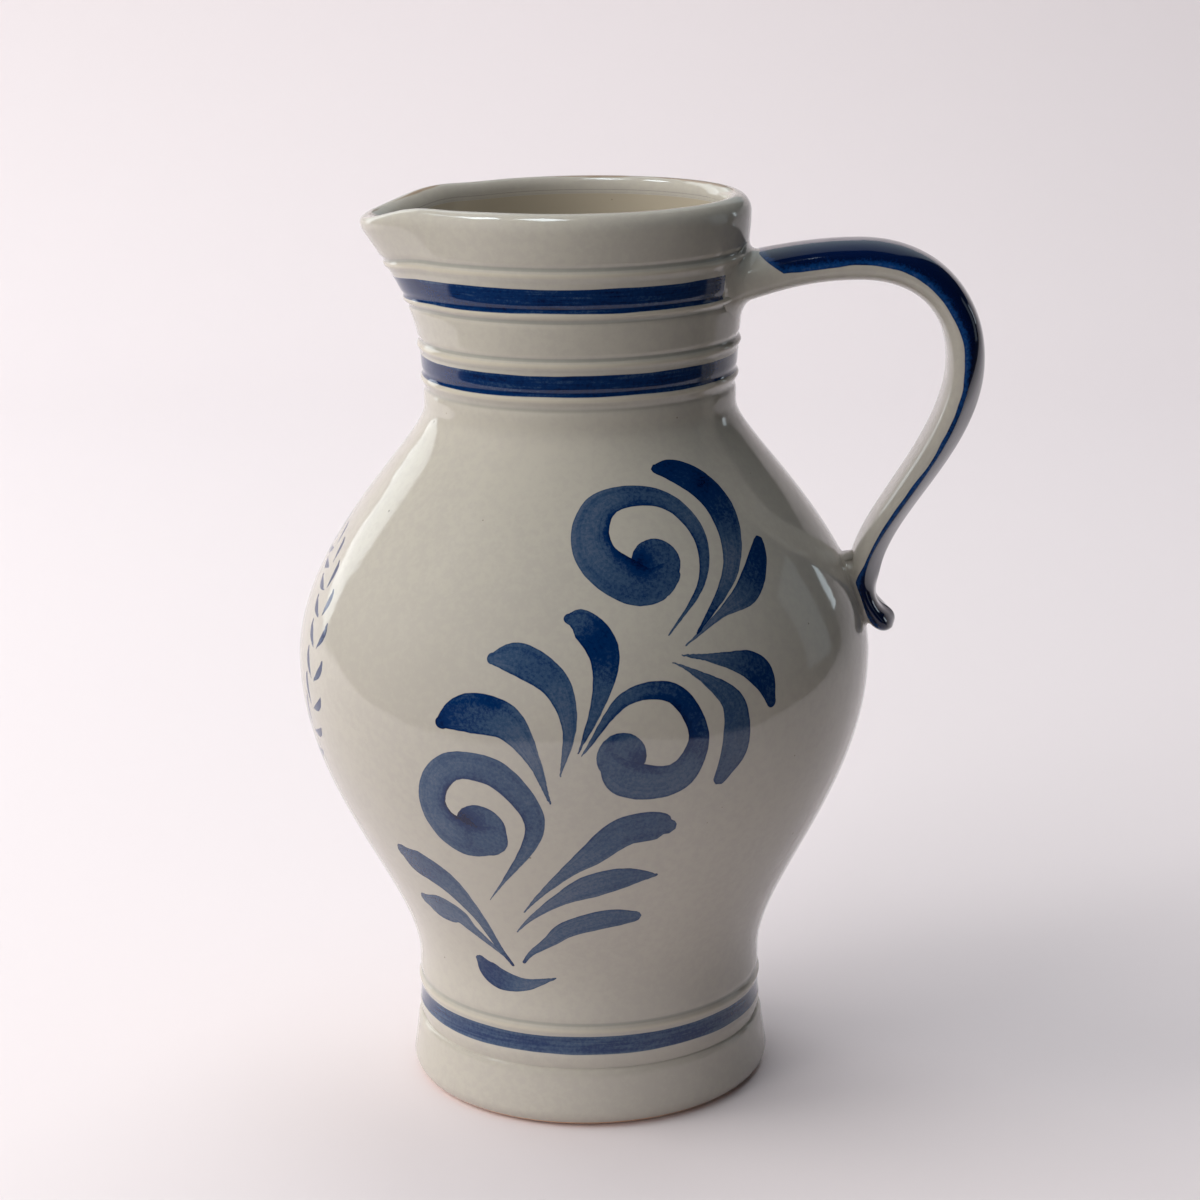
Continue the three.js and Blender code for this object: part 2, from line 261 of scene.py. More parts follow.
thrown_points, pot_faces = turn_on_wheel(outline)
pot = new_mesh("thrown_pot", pull_lip(thrown_points), pot_faces)
triangles = sum(len(face) - 2 for face in pot_faces)
print(f"thrown_pot: {len(thrown_points)} points, {triangles} triangles")

# %% [markdown]
# ## A painter's chart of the pot
#
# The scroll was painted on a curved belly, and there it has round curls. A flat picture wrapped round
# the pot would stretch them. The chart used here is the one that mapmakers use for the globe: up and
# round grow at the same rate at every height, so a circle on the chart is a circle on the clay.

# %% Place every point of the pot on the chart
chart_heights = np.linspace(0, jug_height, 5001)
chart_radii = plain_radius(chart_heights)
slant = np.hypot(np.gradient(chart_heights), np.gradient(chart_radii))
stretch = slant / chart_radii
chart_ups = np.concatenate([[0], np.cumsum((stretch[1:] + stretch[:-1]) / 2)]) * belly_radius
chart_ups -= np.interp(belly_height, chart_heights, chart_ups)


def on_chart(degrees, height):
    """Degrees from the middle of a painted side towards the handle, and a height, as chart metres."""
    up = np.interp(height, chart_heights, chart_ups)
    return np.stack([belly_radius * np.radians(degrees) * np.ones_like(up), up], axis=-1)


# Both sides carry the scroll, so a point's degrees are counted the same way on each
from_handle = np.degrees(np.abs(np.arctan2(thrown_points[:, 1], thrown_points[:, 0])))
thrown_height = thrown_points[:, 2]
spots = on_chart(90 - from_handle, thrown_height)
outer_count = 1 + (len(foot) + len(outside) + len(rim) - 1) * around
on_outside = np.arange(len(spots)) < outer_count
print("the belly's equator is", round(2 * math.pi * belly_radius / MM), "mm long on the chart")

# %% [markdown]
# ## The strokes of the scroll
#
# The painter used a round brush. It lands with a full, dark head, swells as it is pressed, and thins
# to a hair as it lifts, so each stroke is a line with a changing width and a changing load of colour.
# The lines are written as a few places that the brush passed, and a smooth curve joins them. Drawing
# the strokes as a picture file would be quicker, but then nobody could change them.

# %% The places that the brush passed
# Each place: degrees from the middle of the side, height in mm, half width in mm, load of colour
scroll = {
    "top_comma": [(27, 183.5, 1.6, 0.95), (31, 183, 3.1, 0.95), (35.5, 181.5, 4, 0.9),
        (40.5, 178, 4.6, 0.95), (43, 172.5, 4.6, 0.8), (39.5, 161, 2.7, 0.35), (26, 145.5, 0.3, 0.9)],
    "top_curl": [(22.5, 160, 3.3, 0.6), (19, 158, 4.7, 0.6), (14.5, 158.5, 6, 0.6),
        (6.5, 164.5, 5.5, 0.45), (5, 170.5, 4.9, 0.42), (7.5, 175.5, 4.2, 0.42), (12, 177.5, 3.4, 0.5),
        (18.5, 178, 3, 0.65), (25, 177, 2.7, 0.6), (29.5, 174.5, 2.5, 0.5), (32.5, 170, 2.3, 0.5),
        (33, 165.5, 1.9, 0.55), (30, 157.5, 1.1, 0.5), (20, 146, 0.2, 0.35)],
    "top_eye": [(20, 162.5, 6.6, 0.65), (20.2, 163, 6.6, 0.65)],
    "side_comma": [(50, 163.5, 1.8, 0.85), (47.5, 160.5, 3, 0.9), (40.5, 153.5, 3.6, 0.6),
        (32.5, 149.5, 1.3, 0.25), (23, 143, 0.2, 0.3)],
    "right_leaf": [(40.5, 125.5, 1.5, 0.8), (39, 132.5, 3.8, 0.85), (36.5, 136, 3.8, 0.75),
        (29.5, 139, 1.6, 0.4), (22, 141, 0.2, 0.35)],
    "right_comma": [(29.5, 107, 2, 0.6), (32, 114, 4, 0.55), (32.5, 118.5, 4.2, 0.6),
        (31.5, 128, 3.3, 0.55), (23, 137.5, 0.6, 0.3), (20, 139.5, 0.2, 0.3)],
    "middle_curl": [(7.5, 114.5, 3.2, 0.5), (9.5, 111, 5.1, 0.5), (12.5, 109, 5.3, 0.5),
        (19, 108.5, 4.6, 0.45), (22, 111, 4.1, 0.5), (24.5, 120, 2.9, 0.75), (21, 130.5, 2.7, 0.85),
        (17.5, 133, 2.5, 0.75), (10.5, 131.5, 1.9, 0.5), (2, 116.5, 0.2, 0.45)],
    "middle_eye": [(9.5, 116, 6.4, 0.55), (9.7, 116.5, 6.4, 0.55)],
    "middle_leaf": [(0, 151, 1.4, 0.65), (2, 150.5, 3.4, 0.6), (6, 145.5, 4.3, 0.95),
        (7, 140.5, 3.7, 0.85), (5.5, 131, 2, 0.5), (1.5, 117.5, 0.2, 0.7)],
    "left_leaf": [(-15, 141, 1.5, 0.5), (-12, 141.5, 3.7, 0.5), (-9, 141, 4.4, 0.55),
        (-2.5, 135.5, 3.8, 0.55), (0, 125, 2, 0.4), (-2, 110.5, 0.2, 0.3)],
    "left_comma": [(-25, 123.5, 1.5, 1), (-22.5, 125.5, 3.9, 0.8), (-19, 127, 5.3, 0.75),
        (-12, 125.5, 4.9, 0.55), (-7, 116, 2.1, 0.3), (-4, 103, 0.3, 0.6)],
    "lower_curl": [(-16.5, 91.5, 3.9, 0.55), (-20, 90, 5.7, 0.55), (-23, 90.5, 7, 0.55),
        (-26, 92, 6.2, 0.5), (-28.5, 96, 5, 0.45), (-29, 101.5, 4.2, 0.45), (-27, 107.5, 4.1, 0.45),
        (-23, 112, 4, 0.5), (-14.5, 111, 4.2, 0.5), (-8.5, 102, 3.4, 0.55), (-7.5, 96, 2.7, 0.55),
        (-9.5, 89, 2, 0.45), (-17, 76.5, 0.5, 0.3), (-22, 69.5, 0.2, 0.3)],
    "lower_eye": [(-19, 91.5, 7, 0.6), (-19, 94.5, 7, 0.6)],
    "long_grass": [(19.5, 94.5, 2.5, 0.6), (18, 95, 4.3, 0.6), (10.5, 94, 4.9, 0.55),
        (3.5, 86.5, 3.6, 0.45), (-0.5, 82.5, 2.3, 0.4), (-8.5, 73, 0.8, 0.3), (-13.5, 66.5, 0.2, 0.4)],
    "middle_grass": [(18.5, 79, 0.6, 0.55), (12, 79, 3.6, 0.55), (4, 76.5, 4.4, 0.45),
        (-4, 71.5, 2.2, 0.3), (-12.5, 64, 0.7, 0.25), (-17, 59, 0.2, 0.3)],
    "short_grass": [(14.5, 65, 2.3, 0.5), (11, 65, 3.3, 0.55), (6.5, 64.5, 3.7, 0.5),
        (-3, 61, 3, 0.4), (-7.5, 57, 2, 0.35), (-14.5, 51.5, 0.8, 0.5), (-17, 48.5, 0.5, 0.75)],
    "left_blade": [(-44, 80, 2.7, 0.7), (-41.5, 78, 5.1, 0.7), (-37.5, 76, 5.2, 0.65),
        (-33.5, 73, 4.6, 0.55), (-28, 63.5, 2.2, 0.35), (-24, 52, 1, 0.6), (-21, 47, 0.5, 0.9)],
    "low_blade": [(-45.5, 63.5, 2.4, 0.55), (-42, 62.5, 4.6, 0.6), (-38, 62, 4.8, 0.5),
        (-34.5, 61, 3.6, 0.4), (-32, 58, 2.1, 0.35), (-23.5, 50, 0.4, 0.35)],
    "root_comma": [(-32.5, 46.5, 1.9, 0.75), (-31, 44.5, 3.5, 0.85), (-27.5, 42, 3.8, 0.75),
        (-18.5, 41, 2.2, 0.4), (-7.5, 44, 0.2, 0.5)],
}
print(len(scroll), "strokes through", sum(len(places) for places in scroll.values()), "places")

# %% Where the colour stayed wet longest
# Each pool: degrees and height of its middle, radius in mm, how much darker
pools = [
    (16.3, 163.2, 3.2, 0.55), (12.4, 165.7, 2.4, 0.3), (10.2, 169.6, 2.3, 0.35), (10.9, 173.3, 1.8, 0.35),
    (13, 115.7, 2.4, 0.45), (15.9, 113.1, 2, 0.25), (-24.5, 104.7, 2.4, 0.4), (-25, 100.1, 2.6, 0.4),
    (-23.6, 97.3, 2.6, 0.4), (-21.2, 95.6, 3, 0.45), (40.8, 179.1, 2.9, 0.25), (-14.5, 130.9, 2.9, 0.3),
]
# The curls' inner rims are darker too: the side of the stroke, looking the way the brush went
inner_rims = {"top_curl": -1, "middle_curl": 1, "lower_curl": -1}
print(len(pools), "pools")

# %% Join the places with a smooth curve
fineness = 24


def smooth_line(places):
    """A curve through all the places, which bends evenly however far apart they are."""
    ends = [2 * places[0] - places[1], *places, 2 * places[-1] - places[-2]]
    points = np.array(ends)
    spans = np.linalg.norm(np.diff(points[:, :2], axis=0), axis=1)
    knots = np.concatenate([[0], np.cumsum(spans**0.5)])
    parts = []
    for i in range(1, len(points) - 2):
        t = np.linspace(knots[i], knots[i + 1], fineness, endpoint=False)[:, None]

        def between(a, b, first, second):
            return ((second - t) * a + (t - first) * b) / (second - first)

        before, here, there, after = points[i - 1 : i + 3]
        k0, k1, k2, k3 = knots[i - 1 : i + 3]
        a1 = between(before, here, k0, k1)
        a2 = between(here, there, k1, k2)
        a3 = between(there, after, k2, k3)
        parts.append(between(between(a1, a2, k0, k2), between(a2, a3, k1, k3), k1, k2))
    return np.vstack([*parts, points[-2:-1]])


def lay_stroke(places):
    """The stroke's line on the chart, with its half width there and its load."""
    places = np.array(places, float)
    height = places[:, 1] * MM
    chart = on_chart(places[:, 0], height)
    half = places[:, 2] * MM * belly_radius / plain_radius(height)
    return smooth_line(np.column_stack([chart, half, places[:, 3]]))


strokes = {name: lay_stroke(places) for name, places in scroll.items()}
longest = max(strokes, key=lambda name: len(strokes[name]))
print("the stroke with the most places is", longest)

# %% [markdown]
# ## The wreath under the lip
#
# A ring of small leaves sits under the pouring lip, two rows on a ring, with its middle left plain.
# Such a wreath is the same leaf over and over, so it is made by a rule: leaves set off round a circle
# on the chart, the outer row leaning out and the inner row leaning in.

# %% Set the leaves round their ring
wreath_rise = 5.7 * MM
wreath_centre = on_chart(-90, np.array(belly_height)) + np.array([0, wreath_rise])
wreath_radius, ring_half_width, ring_half_turn = 35 * MM, 1.2 * MM, 86
leaf_pairs, leaf_lean = 12, 34
leaf_length, leaf_half = 9 * MM, 1.3 * MM
# Each leaf as shares of its length, half width and load from its tip to its root, and its bow in mm
leaf_shape = [(1, 0.3, 0.85, 0), (0.82, 0.8, 0.9, 0.9), (0.55, 1, 0.8, 1.1), (0.25, 0.6, 0.65, 0.6),
    (0, 0.15, 0.6, 0)]


def leaf_from(share, leaning):
    """One leaf that grows off the ring; the share runs from the bottom of the ring to its top."""
    angle = math.radians(ring_half_turn * (2 * share - 1))
    root = wreath_centre + wreath_radius * np.array([math.cos(angle), math.sin(angle)])
    heading = angle + math.pi / 2 - leaning * math.radians(leaf_lean)
    ahead = np.array([math.cos(heading), math.sin(heading)])
    aside = np.array([ahead[1], -ahead[0]]) * leaning
    root = root + aside * ring_half_width
    return np.array([
        [*(root + ahead * leaf_length * far + aside * bow * MM), leaf_half * wide, load]
        for far, wide, load, bow in leaf_shape
    ])


for pair in range(leaf_pairs):
    share = (pair + 0.5) / leaf_pairs
    strokes[f"outer_leaf_{pair}"] = smooth_line(leaf_from(share, 1))
    strokes[f"inner_leaf_{pair}"] = smooth_line(leaf_from(share, -1))
print("leaves in the wreath, both halves:", 4 * leaf_pairs)

# %% [markdown]
# ## How far each point of the pot is from the brush's path
#
# The mesh stores, at each point, where that point lies in the nearest stroke: how far across it, in
# half widths, and how far past its ends. These numbers change evenly from point to point, so the
# material can draw an outline through the middle of a face, far finer than the mesh. Strokes that
# come close to each other are kept in separate layers, so that they don't disturb one another.

# %% Measure every point against the strokes
layers = [
    ["top_comma", "right_comma", "middle_leaf", "middle_grass", "left_blade", "lower_eye"],
    ["top_curl", "left_leaf", "lower_curl", "long_grass", "root_comma"],
    ["side_comma", "middle_curl", "left_comma", "short_grass", "low_blade"],
    ["top_eye", "middle_eye", "right_leaf"],
]
for pair in range(leaf_pairs):
    layers[2 * pair % len(layers)].append(f"outer_leaf_{pair}")
    layers[(2 * pair + 1) % len(layers)].append(f"inner_leaf_{pair}")
# How far from a stroke its depth is stored, and how near to it a hair-thin tail may be drawn
known, seen = 8 * MM, 1.8 * MM
# How much more colour the inner rim of a curl holds
rim_gain = 0.3
# Measures are cut short this many half widths away
far_off = 12


def lengths_along(line):
    """How far along a line each of its points is."""
    return np.concatenate([[0], np.cumsum(np.linalg.norm(np.diff(line, axis=0), axis=1))])


def measure(line, points):
    """Across and past-the-end in half widths, distance outside the stroke, load and half width."""
    lead = np.gradient(line[:, :2], axis=0)
    lead /= np.linalg.norm(lead, axis=1)[:, None]
    length = lengths_along(line[:, :2])
    gap = points[:, None, :] - line[None, :, :2]
    near = np.argmin((gap**2).sum(axis=2), axis=1)
    gap = gap[np.arange(len(points)), near]
    ahead, half = lead[near], line[near, 2]
    aside = gap[:, 0] * -ahead[:, 1] + gap[:, 1] * ahead[:, 0]
    along = length[near] + (gap * ahead).sum(axis=1)
    past = np.maximum(-along / line[0, 2], (along - length[-1]) / line[-1, 2])
    outside = np.hypot(*gap.T) - half
    across, past = np.clip(aside / half, -far_off, far_off), np.clip(past, -1, far_off)
    return across, past, outside, line[near, 3], half


layer_fields = []
for names in layers:
    place = np.tile([0.0, 0.0, -1.0], (len(spots), 1))
    paint = np.tile([0.0, 0.0, -known / MM], (len(spots), 1))
    closest = np.full(len(spots), known)
    for name in names:
        line = strokes[name]
        low = line[:, :2].min(axis=0) - known - line[:, 2].max()
        high = line[:, :2].max(axis=0) + known + line[:, 2].max()
        some = np.flatnonzero(((spots > low) & (spots < high)).all(axis=1) & on_outside)
        across, past, outside, load, half = measure(line, spots[some])
        won = outside < closest[some]
        take = some[won]
        closest[take] = outside[won]
        reach = np.clip((seen - outside[won]) / MM, -1, 1)
        inward = np.clip(across[won] * inner_rims.get(name, 0), 0, 1)
        wet = load[won] + rim_gain * inward**2
        place[take] = np.column_stack([across[won], past[won], reach])
        paint[take] = np.column_stack([wet, half[won] / MM, -outside[won] / MM])
    layer_fields.append((place, paint))
    print(len(names), "strokes in a layer reach", int((closest < 0).sum()), "points")

# %% Add up the pools
pooled = np.zeros(len(spots))
for degrees, up, radius, extra in pools:
    grown = float(belly_radius / plain_radius(up * MM)[0])
    far = np.linalg.norm(spots - on_chart(degrees, up * MM), axis=1)
    pooled += extra * bell(far, radius * MM * grown) * on_outside
print("the deepest pool adds", round(float(pooled.max()), 2), "to the load")

# %% Store the measures on the pot's mesh


def store(piece, name, values):
    kind = "FLOAT" if values.ndim == 1 else "FLOAT_VECTOR"
    attribute = piece.data.attributes.new(name, kind, "POINT")
    key = "value" if values.ndim == 1 else "vector"
    attribute.data.foreach_set(key, values.astype(np.float32).ravel())


for number, (place, paint) in enumerate(layer_fields):
    store(pot, f"stroke_place_{number}", place)
    store(pot, f"stroke_paint_{number}", paint)
inside_mark = -100.0
store(pot, "thrown_height", np.where(on_outside, thrown_height / MM, inside_mark))
store(pot, "from_handle", from_handle)
store(pot, "pooled", pooled)
print("points on the outside of the pot:", int(on_outside.sum()))

# %% Store where the wall is hollow, and how far each point is from the rim's crest
step = 0.5 * MM
bend = outer_radius(thrown_height + step) + outer_radius(thrown_height - step)
hollow = (bend - 2 * outer_radius(thrown_height)) / step**2 * MM
on_wall = on_outside & (thrown_height > foot_height) & (thrown_height < rim_height)
store(pot, "hollow", np.where(on_wall, np.clip(hollow, -1, 1), 0))
outline_lengths = lengths_along(outline)
crest_length = outline_lengths[np.argmax(outline[:, 1])]
past_crest = (outline_lengths - crest_length) / MM
past_crest = np.concatenate([past_crest[:1], np.repeat(past_crest[1:-1], around), past_crest[-1:]])
store(pot, "past_crest", past_crest)
print("the sharpest hollow in the wall is", round(float(hollow[on_wall].max()), 2), "per mm")

# %% [markdown]
# ## The strap handle
#
# A handle is pulled like toffee: a lump of clay is stroked with a wet hand until it is a strap with a
# flat inner face and a crowned outer one, then it is bent over, pressed on at the collar and the
# belly, and its tail is curled away with the thumb. From the bend down the back isn't round: the hand
# left a low ridge along its middle. A curve with a bevel has one section all the way, so rings are
# lofted instead. They follow the same path as the solid, four Bezier curves in the plane of the pot's
# axis, and the section narrows and changes on the way.

# %% The strap's path
root_height, crown_height = jug_height - 24 * MM, jug_height - 17.9 * MM
bend_height = jug_height - 46.4 * MM
strap_foot_height = belly_height + 21.5 * MM
tail_drop = 15 * MM
tail_height = strap_foot_height - tail_drop
strap_width, strap_thickness = 27 * MM, 10.4 * MM
foot_width, foot_thickness = 22 * MM, 7.6 * MM
root_widening, root_thickening = 1.25, 1.15
root_half_width = strap_width / 2 * root_widening


def radius_at(z):
    return float(plain_radius(z)[0])


curve_points = 400


def bezier(a, b, c, d):
    t = np.linspace(0, 1, curve_points)[:, None]
    a, b, c, d = (np.array(p) for p in (a, b, c, d))
    return (1 - t) ** 3 * a + 3 * (1 - t) ** 2 * t * b + 3 * (1 - t) * t**2 * c + t**3 * d


root_inset = 2.5 * MM
root_x = math.sqrt(radius_at(root_height) ** 2 - root_half_width**2) - root_inset
crown_x = radius_at(crown_height) + 29.8 * MM
bend_x = belly_radius + 25.6 * MM
strap_foot_x = radius_at(strap_foot_height) + 3.3 * MM
tail_x = radius_at(tail_height) + 7.2 * MM
reach, fall = bend_x - crown_x, bend_height - strap_foot_height
rise, sink = crown_height - bend_height, 0.45 * tail_drop
root, crown, bend = (root_x, root_height), (crown_x, crown_height), (bend_x, bend_height)
strap_foot, tail = (strap_foot_x, strap_foot_height), (tail_x, tail_height)
# Each curve: its start, the two handles that bend it, and its end
strap_parts = [
    bezier(root, (root_x + 14 * MM, root_height + 4 * MM), (crown_x - 12 * MM, crown_height), crown),
    bezier(crown, (crown_x + 0.66 * reach, crown_height), (bend_x, bend_height + 0.56 * rise), bend),
    bezier(bend, (bend_x, bend_height - 0.4 * fall),
        (strap_foot_x, strap_foot_height + 0.245 * fall), strap_foot),
    bezier(strap_foot, (strap_foot_x, strap_foot_height - sink),
        (tail_x - 3.2 * MM, tail_height + 3.4 * MM), tail),
]
strap_path = np.vstack([part[:-1] for part in strap_parts] + [strap_parts[-1][-1:]])
strap_lengths = lengths_along(strap_path)
crown_at, bend_at, foot_at, strap_end = (strap_lengths[(curve_points - 1) * k] for k in (1, 2, 3, 4))
print(f"the strap is {strap_end / MM:.0f} mm long along its middle")

# %% The strap's section


def flatten(value, flatness):
    """Bends a circle's sine or cosine: below 1 the section grows boxy, above 1 it grows a ridge."""
    return np.sign(value) * np.abs(value) ** flatness


def eased(distance, start, end):
    """Grows from 0 to 1 between two distances along the strap, slowly at both ends."""
    share = min(max((distance - start) / (end - start), 0), 1)
    return share * share * (3 - 2 * share)


root_run, tip_run, smallest = 0.42 * crown_at, 0.75 * foot_thickness, 0.06


def strap_size(distance):
    """Width and thickness: both grow into the root, shrink to the foot and close at the tip."""
    at_root = bell(distance, root_run)
    left = max(strap_end - distance, 0)
    tip = math.sqrt(1 - (1 - left / tip_run) ** 2) if left < tip_run else 1
    closing = max(tip, smallest)
    width = strap_width + (foot_width - strap_width) * eased(distance, crown_at, foot_at)
    thick = strap_thickness + (foot_thickness - strap_thickness) * eased(distance, bend_at, foot_at)
    width *= 1 + (root_widening - 1) * at_root
    thick *= 1 + (root_thickening - 1) * at_root
    return width * closing, thick * closing


print("width and thickness at the crown in mm:", [round(v / MM, 1) for v in strap_size(crown_at)])

# %% Loft the rings of the strap
strap_rings, strap_sides = 190, 84
inner_flatness, crowned, ridged, ridging_run = 0.66, 0.8, 1.8, 14 * MM
ridge_gain, ridge_run = 0.3, 16 * MM
thumb_depth, thumb_run, thumb_half_width = 2.8 * MM, 6 * MM, 6.5 * MM
thumb_at = foot_at + 0.6 * tail_drop
section_angle = np.arange(strap_sides) * 2 * math.pi / strap_sides
# The rings stand a little closer together towards the tail
crowding = 1.25
shares = 1 - (1 - np.linspace(0, 1, strap_rings)) ** crowding
strap_points, strap_along, strap_out = [], [], []
for distance in strap_end * shares:
    centre = np.array([np.interp(distance, strap_lengths, strap_path[:, k]) for k in (0, 1)])
    ends = np.clip([distance - 0.3 * MM, distance + 0.3 * MM], 0, strap_end)
    toward = [np.diff(np.interp(ends, strap_lengths, strap_path[:, k]))[0] for k in (0, 1)]
    outward = np.array([-toward[1], toward[0]]) / math.hypot(*toward)
    width, thick = strap_size(distance)
    turned_ridge = eased(distance, bend_at - ridging_run, bend_at + ridging_run)
    outer_flatness = crowned + (ridged - crowned) * turned_ridge
    flatness = np.where(np.sin(section_angle) > 0, outer_flatness, inner_flatness)
    side = width / 2 * flatten(np.cos(section_angle), flatness)
    out = thick / 2 * flatten(np.sin(section_angle), flatness)
    ridge = 1 + ridge_gain * bell(distance - foot_at, ridge_run)
    pressed = thumb_depth * bell(distance - thumb_at, thumb_run) * bell(side, thumb_half_width)
    out = np.where(out > 0, out * ridge - pressed * np.sin(section_angle), out)
    ring = [centre[0] + outward[0] * out, side, centre[1] + outward[1] * out]
    strap_points.append(np.column_stack(ring))
    strap_along.append(np.full(strap_sides, distance / MM))
    strap_out.append(out / (thick / 2))
print("one ring of the strap has", strap_sides, "points, about",
      round(2 * (strap_width + strap_thickness) / strap_sides / MM, 2), "mm apart")

# %% Close the strap and keep its root inside the wall


def skin(rings, looped):
    """Faces that join rings of the same number of points."""
    sides = len(rings[0])
    faces = []
    for ring in range(len(rings) if looped else len(rings) - 1):
        faces += join_rings(ring * sides, (ring + 1) % len(rings) * sides, sides)
    if not looped:
        faces.append(tuple(range(sides))[::-1])
        faces.append(tuple(range((len(rings) - 1) * sides, len(rings) * sides)))
    return faces


strap_cloud = np.vstack(strap_points)
flat_radius = np.hypot(strap_cloud[:, 0], strap_cloud[:, 1])
deepest_root = 2.2 * MM
deepest = plain_radius(strap_cloud[:, 2]) - deepest_root
push = np.where(strap_cloud[:, 2] > strap_foot_height, np.maximum(deepest / flat_radius, 1), 1)
strap_cloud[:, :2] *= push[:, None]
strap = new_mesh("strap_handle", strap_cloud, skin(strap_points, False))
store(strap, "strap_along", np.concatenate(strap_along))
store(strap, "strap_out", np.concatenate(strap_out))
print("strap_handle:", len(strap.data.polygons), "faces")

# %% [markdown]
# ## The slip round the two roots
#
# Wet slip glues the handle on, and what squeezes out is wiped round with a finger into a soft hollow
# curve. Each ring is a fan of such curves, one for each direction round the root. A curve starts on
# the wall and runs along it, turns, and ends along the side of the strap. The place where it meets
# the strap is found with a ray, so the slip follows the strap's real shape.

# %% Wipe the slip into a hollow curve
strap_tree = BVHTree.FromObject(strap, bpy.context.evaluated_depsgraph_get())


def off_wall(y, z, lift):
    """A point on the pot's wall, lifted square off it."""
    r = radius_at(z)
    slope = (radius_at(z + 0.5 * MM) - radius_at(z - 0.5 * MM)) / MM
    x = math.sqrt(r * r - y * y)
    normal = Vector((x / r, y / r, -slope)).normalized()
    return Vector((x, y, z)) + normal * lift


# The slip's edges sink into the wall and the strap, and its back is buried deeper in both
sunk, strap_bite, back_reach, back_depth = 0.06 * MM, 0.72 * MM, 1.5 * MM, 1.2 * MM
corner_lift, corner_pull, root_flatness = 0.3 * MM, 0.2, 0.82
# Where the ray to the strap starts and where the slip lands on the wall, in radii from the strap
ray_from, land_at = 2.2, 1.25


def wipe_slip(name, middle, half_width, half_height, radius, directions=112, steps=12):
    rings = []
    for turn in range(directions):
        angle = 2 * math.pi * turn / directions
        away = Vector((math.cos(angle) / half_width, math.sin(angle) / half_height)).normalized()
        side = half_width * float(flatten(np.cos(angle), root_flatness))
        up = half_height * float(flatten(np.sin(angle), root_flatness))

        def spot(out, lift):
            return off_wall(side + out * away.x, middle + up + out * away.y, lift)

        def on_strap(lift):
            start = spot(radius * ray_from, lift)
            aim = spot(-half_height, lift) - start
            hit = strap_tree.ray_cast(start, aim.normalized(), aim.length)[0]
            return hit if hit is not None else spot(0, lift)

        corner, touch = on_strap(corner_lift), on_strap(radius)
        landing = spot(radius * land_at, -sunk)
        inward = (spot(-radius, radius) - touch).normalized() * sunk
        touch = touch + inward
        corner = corner.lerp(spot(0, 0), corner_pull)
        curve = [
            (1 - t) ** 2 * landing + 2 * (1 - t) * t * corner + t * t * touch
            for t in np.linspace(0, 1, steps)
        ]
        in_strap = touch + inward * (strap_bite / sunk)
        buried = [in_strap, spot(-back_reach, -back_depth), spot(radius, -back_depth)]
        rings.append(np.array([tuple(p) for p in curve + buried]))
    piece = new_mesh(name, np.vstack(rings), [face[::-1] for face in skin(rings, True)])
    print(f"{name}: {len(piece.data.polygons)} faces")
    return piece


upper_rise, upper_radius = 1.2 * MM, 4 * MM
lower_drop, lower_half_height, lower_radius = 3.8 * MM, 11.2 * MM, 3 * MM
upper_slip = wipe_slip("upper_slip_ring", root_height + upper_rise, root_half_width,
    strap_thickness / 2 * root_thickening, upper_radius)
lower_slip = wipe_slip("lower_slip_ring", strap_foot_height - lower_drop, foot_width / 2,
    lower_half_height, lower_radius)

# %% [markdown]
# ## The skin of the glaze
#
# A fired glaze isn't a mirror. It has an orange-peel swell a few millimetres across, pin holes and
# tiny dark specks where iron in the clay has burned through. All the glazed pieces share this skin,
# so it is one node group. It works in the object's own space, which needs no unwrapping and runs on
# from the pot to the slip and the strap without a seam. The scale of a noise counts its waves in a
# metre, so a scale of 260 makes a swell about 4 mm long.

# %% Short ways to add and join nodes


